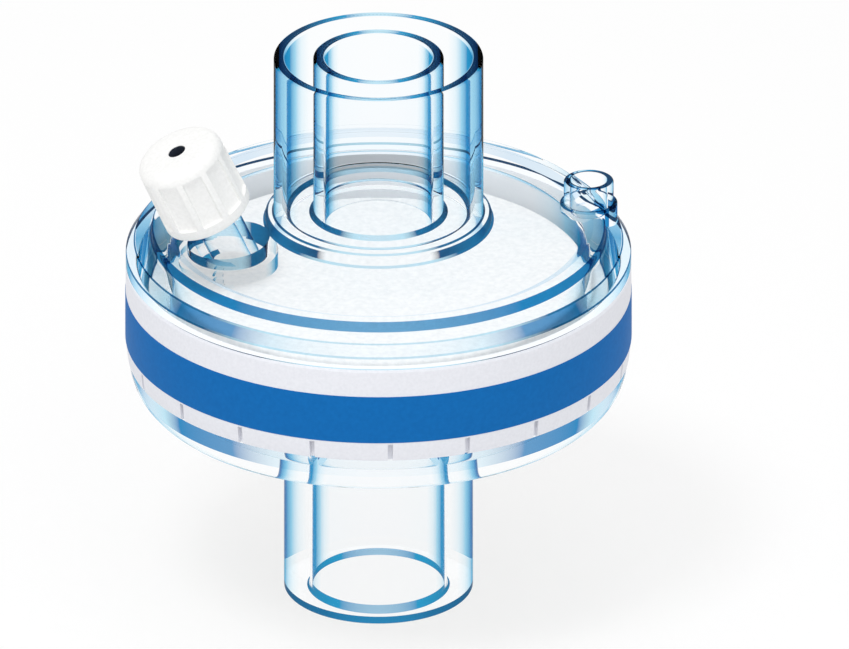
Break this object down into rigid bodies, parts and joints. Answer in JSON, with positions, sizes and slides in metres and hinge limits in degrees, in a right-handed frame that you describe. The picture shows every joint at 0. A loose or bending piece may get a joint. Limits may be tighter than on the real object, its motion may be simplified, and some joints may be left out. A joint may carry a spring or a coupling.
{
  "type": "breathing circuit filter",
  "caption": "Clear round breathing circuit filter with coaxial machine port, patient port, white joining ring, blue band and a leaning sampling port with a white screw cap",
  "frame": {"origin": "centre of the patient port's rim, which is the bottom of the filter", "axes": "+Z along the gas way from the patient port up to the machine port, +X towards the parking spigot, -X towards the sampling port"},
  "size_m": [0.0588, 0.0588, 0.0679],
  "materials": {
    "clear_housing": "clear glossy moulding with a faint blue tint",
    "white_ring": "smooth matt white moulding",
    "blue_band": "even satin blue film",
    "filter_felt": "white non-woven felt",
    "paper_roll": "wound corrugated paper",
    "white_cap": "fine matt white moulding"
  },
  "bodies": {
    "filter_body": {"upper_housing": "clear_housing", "lower_housing": "clear_housing", "joining_ring": "white_ring", "colour_band": "blue_band", "filter_felt": "filter_felt", "paper_roll": "paper_roll"},
    "cap": {"luer_cap": "white_cap"}
  },
  "joints": [
    {"name": "cap_lift", "type": "slide", "parent": "filter_body", "child": "cap", "axis": [-0.3979, -0.1378, 0.907], "range_m": [0, 0.025]}
  ]
}
